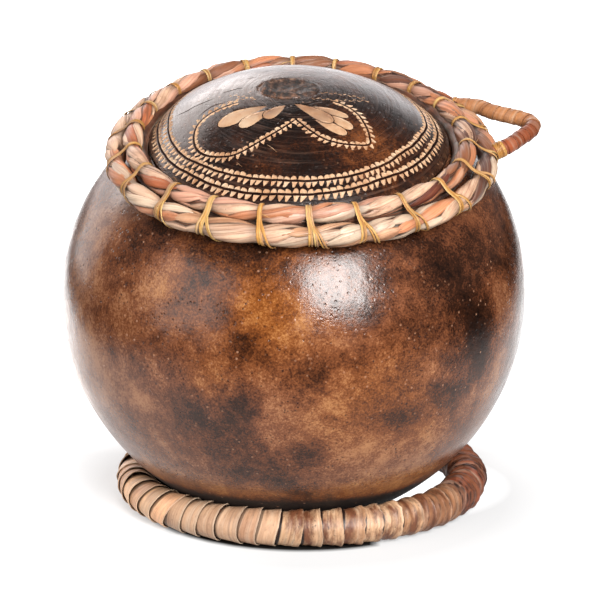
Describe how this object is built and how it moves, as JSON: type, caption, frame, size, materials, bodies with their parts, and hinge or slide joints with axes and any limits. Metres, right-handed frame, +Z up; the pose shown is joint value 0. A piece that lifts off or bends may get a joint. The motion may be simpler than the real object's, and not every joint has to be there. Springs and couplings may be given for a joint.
{
  "type": "lidded container made from a dried round gourd, with a laced leaf collar and a leaf foot ring",
  "caption": "A dried round gourd made into a lidded container, with an engraved lid, a laced leaf collar, a small wrapped handle and a leaf ring under it",
  "frame": {"origin": "on the floor, in the middle of the gourd's flat underside", "axes": "+X to the right of the front view, where the handle is, +Y to the back, +Z up"},
  "size_m": [0.2165, 0.2093, 0.1985],
  "materials": {
    "gourd_skin": "waxed, mottled brown",
    "lid_skin": "waxed dark brown with pale engraving",
    "collar_leaf": "dry leaf, satin",
    "raffia": "dry fibre, matte",
    "handle_strip": "smooth leaf strip, satin",
    "foot_leaf": "dry leaf, satin"
  },
  "bodies": {
    "root": {"gourd_bowl": "gourd_skin", "gourd_lid": "lid_skin", "collar_coil_inner": "collar_leaf", "collar_coil_outer": "collar_leaf", "raffia_lacing": "raffia", "handle_loop": "handle_strip", "foot_ring": "foot_leaf"}
  },
  "joints": []
}
